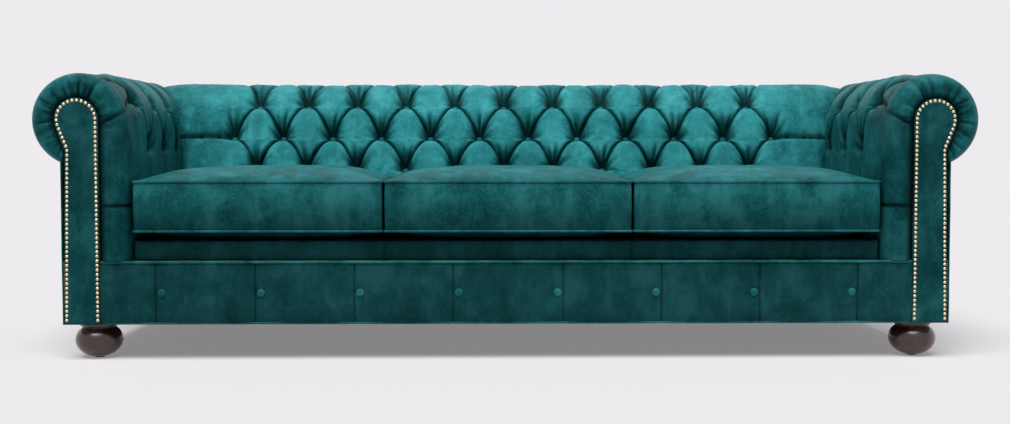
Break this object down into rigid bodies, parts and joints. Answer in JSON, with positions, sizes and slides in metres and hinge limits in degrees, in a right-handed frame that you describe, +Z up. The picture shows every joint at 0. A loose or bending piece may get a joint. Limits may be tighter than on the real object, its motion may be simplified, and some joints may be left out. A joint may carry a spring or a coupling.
{
  "type": "chesterfield sofa",
  "caption": "Low chesterfield sofa with rolled arms and back of one height, deep diamond tufting, three loose seat cushions and turned bun feet.",
  "frame": {"origin": "on the floor, under the middle of the sofa's outline", "axes": "+X along the sofa, to the right as seen from the front; +Y from the front to the back; +Z up"},
  "size_m": [2.44, 0.92, 0.737],
  "materials": {
    "leather": "aged, waxed, semi-gloss",
    "foam": "open-cell foam",
    "webbing": "woven",
    "lining": "plain woven",
    "frame_wood": "sawn",
    "foot_wood": "stained, polished",
    "glide": "matt",
    "steel": "zinc plated"
  },
  "bodies": {
    "sofa": {"apron_buttons": "leather", "back_buttons": "leather", "back_corner_posts": "frame_wood", "back_feet": "foot_wood", "back_foam": "foam", "back_outside_cover": "leather", "back_seat_rail": "frame_wood", "back_top_rail": "frame_wood", "back_tuck_rail": "frame_wood", "back_tufted_cover": "leather", "back_uprights": "frame_wood", "back_webbing": "webbing", "corner_blocks": "frame_wood", "deck_border": "leather", "deck_cover": "lining", "deck_pad": "foam", "dust_cover": "lining", "foot_bolts": "steel", "foot_glides": "glide", "foot_plates": "steel", "front_apron": "leather", "front_feet": "foot_wood", "front_seat_rail": "frame_wood", "left_arm_buttons": "leather", "left_arm_foam": "foam", "left_arm_rear_upright": "frame_wood", "left_arm_stump": "frame_wood", "left_arm_top_rail": "frame_wood", "left_arm_tuck_rail": "frame_wood", "left_arm_tufted_cover": "leather", "left_arm_webbing": "webbing", "left_facing": "leather", "left_outside_cover": "leather", "left_scroll_rim": "leather", "left_seat_rail": "frame_wood", "right_arm_buttons": "leather", "right_arm_foam": "foam", "right_arm_rear_upright": "frame_wood", "right_arm_stump": "frame_wood", "right_arm_top_rail": "frame_wood", "right_arm_tuck_rail": "frame_wood", "right_arm_tufted_cover": "leather", "right_arm_webbing": "webbing", "right_facing": "leather", "right_outside_cover": "leather", "right_scroll_rim": "leather", "right_seat_rail": "frame_wood", "seat_cross_rails": "frame_wood", "seat_webbing_crosswise": "webbing", "seat_webbing_lengthwise": "webbing"},
    "left_cushion": {"left_cushion_cover": "leather", "left_cushion_core": "foam"},
    "centre_cushion": {"centre_cushion_cover": "leather", "centre_cushion_core": "foam"},
    "right_cushion": {"right_cushion_cover": "leather", "right_cushion_core": "foam"}
  },
  "joints": [
    {"name": "left_cushion_lift", "type": "slide", "parent": "sofa", "child": "left_cushion", "axis": [0, 0, 1], "range_m": [0, 0.45]},
    {"name": "centre_cushion_lift", "type": "slide", "parent": "sofa", "child": "centre_cushion", "axis": [0, 0, 1], "range_m": [0, 0.45]},
    {"name": "right_cushion_lift", "type": "slide", "parent": "sofa", "child": "right_cushion", "axis": [0, 0, 1], "range_m": [0, 0.45]}
  ]
}
